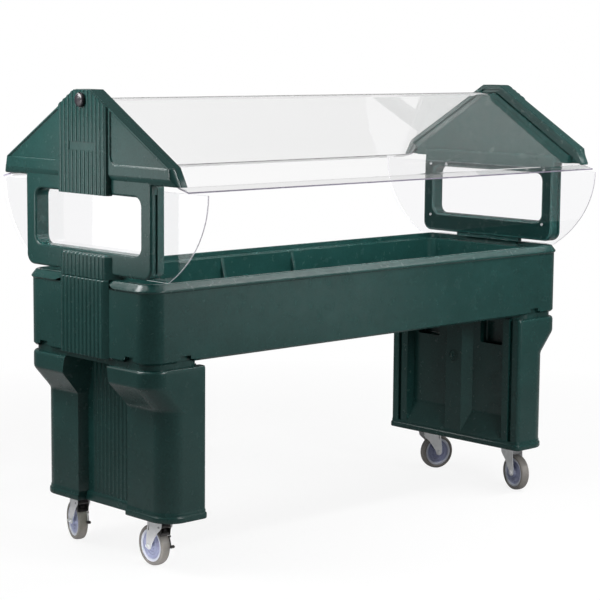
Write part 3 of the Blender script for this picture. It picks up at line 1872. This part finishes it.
def calculate(tree: bpy.types.NodeTree, operation: str, *values: object) -> bpy.types.NodeSocket:
    """Adds a Math node to a node board.

    Args:
        tree: The board.
        operation: What it does.
        *values: What it takes, as outputs or numbers.

    Returns:
        The result.
    """
    node = tree.nodes.new("ShaderNodeMath")
    node.operation = operation
    for socket, value in zip(node.inputs, values):
        if isinstance(value, bpy.types.NodeSocket):
            tree.links.new(value, socket)
        else:
            socket.default_value = value
    return node.outputs[0]


@dataclass(frozen=True)
class Softbox:
    """A rectangular lamp that the camera doesn't see, nor through a clear sheet.

    Attributes:
        name: The lamp's name.
        place: Where it stands, in metres.
        aim: The point that it faces, in metres.
        size: Its width and height, in metres.
        power: Its power, in watts.
        spread: How wide its beam is, in degrees.
    """

    name: str
    place: Point
    aim: Point
    size: tuple[float, float]
    power: float
    spread: float = 180.0

    def build(self) -> None:
        """Adds the lamp to the scene."""
        data = bpy.data.lights.new(self.name, "AREA")
        data.shape, data.energy = "RECTANGLE", self.power
        data.size, data.size_y = self.size
        data.spread = math.radians(self.spread)
        lamp = bpy.data.objects.new(self.name, data)
        ray = Vector(self.aim) - Vector(self.place)
        lamp.matrix_world = (Matrix.Translation(Vector(self.place))
                             @ ray.to_track_quat("-Z", "Y").to_matrix().to_4x4())
        lamp.visible_camera = False
        lamp.visible_transmission = False
        bpy.context.scene.collection.objects.link(lamp)


# The near gable's faces and ribs, the front, the rim's crests and sloping bands, the far
# gable's two sides, and the casters are lit by lamps of their own.
SOFTBOXES = (
    Softbox("key", (-1.65, 0.45, 1.8), (-0.93, 0.0, 1.25), (0.6, 0.5), 18),
    Softbox("gable", (-1.62, 0.62, 1.05), (-0.93, 0.0, 1.15), (0.5, 0.5), 1.4),
    Softbox("ribs", (-2.09, 0.34, 1.1), (-0.94, 0.0, 1.2), (0.3, 0.5), 4.5),
    Softbox("front", (0.1, -2.5, 1.55), (-0.3, -0.3, 0.65), (0.9, 0.7), 36),
    Softbox("side", (1.35, -2.35, 0.5), (-0.1, -0.3, 0.7), (1.3, 0.5), 2),
    Softbox("rim", (1.4, -1.0, 2.4), (1.4, -0.2, 0.87), (2.0, 0.2), 38),
    Softbox("corner", (-1.4, -0.1, 2.4), (-0.93, -0.1, 0.87), (0.6, 0.9), 7),
    Softbox("crest", (-1.2, 1.3, 2.25), (-0.93, -0.1, 0.87), (1.1, 0.35), 9),
    Softbox("far", (-0.3, -1.3, 1.75), (0.9, 0.0, 1.1), (0.4, 0.4), 4),
    Softbox("inner", (-0.13, 1.08, 1.23), (0.9, 0.0, 1.33), (0.6, 0.2), 3.5),
    Softbox("casters", (-2.3, -2.0, 0.05), (-0.6, -0.1, 0.02), (0.8, 0.06), 0.3, 6),
)


@dataclass
class Studio:
    """The floor, the light and the camera.

    Attributes:
        eye: The camera's place.
        yaw: How far the camera is turned to the left from +Y, in degrees.
        pitch: How far it looks down, in degrees.
        roll: How far it leans to the left, in degrees.
        lens: Its focal length, for a sensor 36 mm wide.
        ambient: How bright the surround is as a light.
        mirrored_share: How much of the surround and the floor shows in a reflection.
        floor_tones: The floor's brightness to other rays, and to the camera.
        floor_glow: How much the floor near the object shines by itself to the camera.
        floor_fade: Where that begins to grow, and where it is full, in metres from the middle.
    """

    eye: Point = (-4303.44, -4494.87, 1547.91)
    yaw: float = -43.427
    pitch: float = 7.577
    roll: float = 0.495
    lens: float = 113.7226
    ambient: float = 0.1
    mirrored_share: float = 0.15
    floor_tones: tuple[float, float] = (0.42, 0.95)
    floor_glow: float = 0.86
    floor_fade: tuple[float, float] = (1.0, 3.2)

    def camera(self) -> None:
        """Places the camera at the photograph's viewing angle."""
        yaw, pitch, roll = (math.radians(a) for a in (self.yaw, self.pitch, self.roll))
        right = Vector((math.cos(yaw), math.sin(yaw), 0))
        ahead = Vector((-math.sin(yaw) * math.cos(pitch), math.cos(yaw) * math.cos(pitch),
                        -math.sin(pitch)))
        up = right.cross(ahead)
        across = right * math.cos(roll) + up * math.sin(roll)
        above = up * math.cos(roll) - right * math.sin(roll)
        data = bpy.data.cameras.new("camera")
        data.lens, data.sensor_width, data.clip_end = self.lens, 36.0, 100.0
        camera = bpy.data.objects.new("camera", data)
        camera.matrix_world = (Matrix.Translation(Vector(self.eye) * MM)
                               @ Matrix((across, above, -ahead)).transposed().to_4x4())
        bpy.context.scene.collection.objects.link(camera)
        bpy.context.scene.camera = camera

    def seen(self, tree: bpy.types.NodeTree) -> bpy.types.NodeSocket:
        """How much of the background a ray shows: all to the camera and through glass.

        Args:
            tree: The node board that asks.

        Returns:
            The share, from 0 to 1.
        """
        path = tree.nodes.new("ShaderNodeLightPath")
        dimmed = calculate(tree, "MULTIPLY", path.outputs["Is Glossy Ray"], self.mirrored_share)
        whole = calculate(tree, "MAXIMUM", path.outputs["Is Camera Ray"],
                          path.outputs["Is Transmission Ray"])
        return calculate(tree, "MAXIMUM", whole, dimmed)

    def world(self) -> None:
        """A white surround whose light on the object is softer than what the camera sees."""
        world = bpy.data.worlds.new("studio")
        bpy.context.scene.world = world
        world.use_nodes = True
        tree = world.node_tree
        background = tree.nodes["Background"]
        strength = tree.nodes.new("ShaderNodeMapRange")
        strength.inputs["To Min"].default_value = self.ambient
        strength.inputs["To Max"].default_value = 1.0
        tree.links.new(self.seen(tree), strength.inputs["Value"])
        background.inputs["Color"].default_value = (1, 1, 1, 1)
        tree.links.new(strength.outputs["Result"], background.inputs["Strength"])

    def floor(self) -> None:
        """A white floor that keeps the shadow near the object and fades into the backdrop."""
        clear_selection()
        bpy.ops.mesh.primitive_plane_add(size=60, location=(0, 0, -0.0005))
        floor = bpy.context.object
        floor.name = "studio_floor"
        board = Board("studio_floor")
        seen = self.seen(board.tree)
        board.shader.inputs["Roughness"].default_value = 0.9
        board.shader.inputs["Specular IOR Level"].default_value = 0.0
        pale = board.mapped(seen, (0.0, 1.0), self.floor_tones)
        grey = board.node("ShaderNodeCombineColor", Red=pale, Green=pale, Blue=pale)
        board.feed(board.shader.inputs["Base Color"], grey.outputs["Color"])
        distance = board.node("ShaderNodeVectorMath")
        distance.operation = "LENGTH"
        board.feed(distance.inputs[0], board.place)
        fade = board.mapped(distance.outputs["Value"], self.floor_fade, (self.floor_glow, 1.0))
        glow = board.node("ShaderNodeEmission", Color=(1, 1, 1, 1), Strength=1.0)
        mix = board.node("ShaderNodeMixShader", Fac=calculate(board.tree, "MULTIPLY", seen, fade))
        board.feed(mix.inputs[1], board.shader.outputs["BSDF"])
        board.feed(mix.inputs[2], glow.outputs["Emission"])
        board.feed(board.tree.nodes["Material Output"].inputs["Surface"], mix.outputs["Shader"])
        floor.data.materials.append(board.material)

    def build(self) -> None:
        """Builds the studio."""
        self.camera()
        self.world()
        self.floor()
        for softbox in SOFTBOXES:
            softbox.build()
        bpy.context.scene.view_settings.view_transform = "Standard"


@dataclass
class SaladBar:
    """The whole object, sub-assembly by sub-assembly."""

    finishes: Finishes = field(default_factory=Finishes)

    def dress_nodes(self, nodes: dict[str, bpy.types.Object]) -> None:
        """Gives every CAD node that stays its own finish.

        Args:
            nodes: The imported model's nodes by name.
        """
        finish_of = {
            "caster_plate": ZINC, "caster_fork": ZINC, "caster_bolts": STEEL,
            "caster_kingpin": STEEL, "axle_bolt": ZINC, "axle_bush": STEEL, "brake_pin": STEEL,
            "brake_lever": DARK_STEEL, "pedestal_bolts": STEEL, "end_frame_bolts": STEEL,
            "shield_screws": STEEL, "knob_insert": BRASS, "canopy_knob": BLACK,
            "pedestal_plug": GREEN, "pedestal": GREEN, "end_frame": GREEN, "tub": GREEN,
            "drain_body": ZINC, "drain_locknut": ZINC, "drain_cap": BLACK, "drain_gasket": SEAL,
            "canopy": CLEAR, "end_shield": CLEAR, "tyre": TYRE, "wheel_hub": HUB}
        for name, node in nodes.items():
            kind = max((k for k in finish_of if name.startswith(k)), key=len)
            self.finishes.dress_node(node, finish_of[kind])

    def build(self, nodes: dict[str, bpy.types.Object]) -> None:
        """Builds every sub-assembly.

        Args:
            nodes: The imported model's nodes by name.
        """
        self.dress_nodes(nodes)
        Tub().build(self.finishes)
        Canopy().build(self.finishes)
        for end in End:
            Pedestal(end).build(self.finishes)
            EndFrame(end).build(self.finishes)
            EndShield(end).build(self.finishes)
            ClampKnob(end).build(self.finishes)
        for corner in Corner:
            Caster(corner).build(self.finishes)


def main() -> None:
    """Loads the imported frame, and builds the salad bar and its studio."""
    logging.basicConfig(level=logging.INFO, format="%(name)s: %(message)s")
    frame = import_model()
    SaladBar().build(frame["nodes"])
    Studio().build()
    LOG.info("sizes written")


if __name__ == "__main__":
    main()
